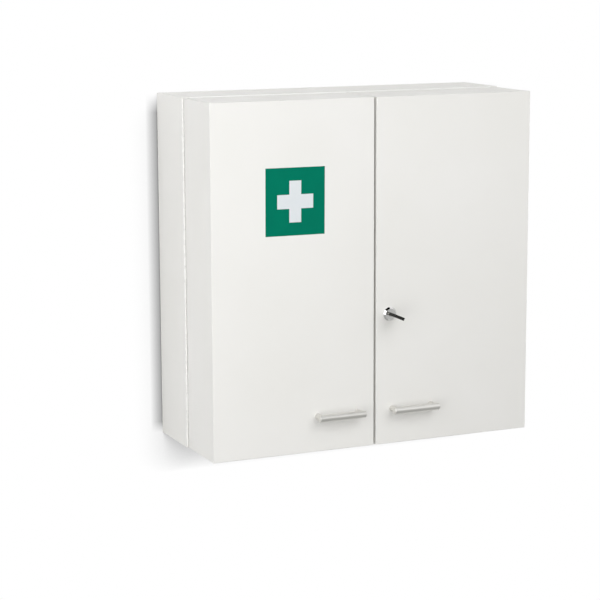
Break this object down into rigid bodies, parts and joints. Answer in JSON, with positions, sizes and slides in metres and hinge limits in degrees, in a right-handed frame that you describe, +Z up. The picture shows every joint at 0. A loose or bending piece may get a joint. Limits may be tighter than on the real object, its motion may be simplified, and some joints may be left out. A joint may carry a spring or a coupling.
{
  "type": "wall medicine cabinet",
  "caption": "Wall medicine cabinet with a shallow carcass, deep shelved box doors on full-height piano hinges, bar handles, a magnetic catch and a keyed hook lock.",
  "frame": {"origin": "on the wall plane, midway between the two wall-screw holes in the hanging rail", "axes": "+X to the right along the row of wall screws, +Y into the wall, +Z up; the doors face -Y"},
  "size_m": [0.5312, 0.2497, 0.53],
  "materials": {
    "board": "satin white lacquered board",
    "back_board": "thin white hardboard",
    "dowel_wood": "plain beech",
    "hinge_paint": "white lacquered rolled steel",
    "handle_metal": "satin nickel",
    "zinc_steel": "zinc plated",
    "lock_chrome": "polished chrome",
    "key_steel": "nickel plated",
    "key_plastic": "black moulded plastic",
    "catch_plastic": "white moulded plastic",
    "magnet": "dark ferrite"
  },
  "bodies": {
    "carcass": {"carcass_left_side": "board", "carcass_right_side": "board", "carcass_top": "board", "carcass_bottom": "board", "back_panel": "back_board", "hanging_rail": "board", "upper_shelf": "board", "lower_shelf": "board", "shelf_pins": "zinc_steel", "carcass_dowels": "dowel_wood", "left_carcass_leaf": "hinge_paint", "right_carcass_leaf": "hinge_paint", "left_hinge_pin": "hinge_paint", "right_hinge_pin": "hinge_paint", "catch_housing": "catch_plastic", "catch_magnets": "magnet"},
    "left_door": {"left_door_front": "board", "left_door_outer_side": "board", "left_door_inner_side": "board", "left_door_top": "board", "left_door_bottom": "board", "left_door_low_shelf": "board", "left_door_middle_shelf": "board", "left_door_high_shelf": "board", "left_door_slats": "board", "left_door_leaf": "hinge_paint", "left_handle": "handle_metal", "left_handle_bolts": "zinc_steel", "left_catch_plate": "zinc_steel", "strike_plate": "zinc_steel"},
    "right_door": {"right_door_front": "board", "right_door_outer_side": "board", "right_door_inner_side": "board", "right_door_top": "board", "right_door_bottom": "board", "right_door_low_shelf": "board", "right_door_middle_shelf": "board", "right_door_high_shelf": "board", "right_door_slats": "board", "right_door_leaf": "hinge_paint", "right_handle": "handle_metal", "right_handle_bolts": "zinc_steel", "right_catch_plate": "zinc_steel", "lock_housing": "lock_chrome", "lock_nut": "zinc_steel"},
    "lock": {"lock_plug": "lock_chrome", "lock_cam": "zinc_steel", "cam_screw": "zinc_steel"},
    "key": {"key_blade": "key_steel", "key_head": "key_plastic"}
  },
  "joints": [
    {"name": "left_door_swing", "type": "hinge", "parent": "carcass", "child": "left_door", "pos_m": [-0.2641, -0.10995, -0.223], "axis": [0, 0, -1], "range_deg": [0, 170]},
    {"name": "right_door_swing", "type": "hinge", "parent": "carcass", "child": "right_door", "pos_m": [0.2641, -0.10995, -0.223], "axis": [0, 0, 1], "range_deg": [0, 170]},
    {"name": "lock_turn", "type": "hinge", "parent": "right_door", "child": "lock", "pos_m": [0.024, -0.215, -0.28637], "axis": [0, 1, 0], "range_deg": [0, 90]},
    {"name": "key_pull", "type": "slide", "parent": "lock", "child": "key", "axis": [0, -1, 0], "range_m": [0, 0.022]}
  ]
}
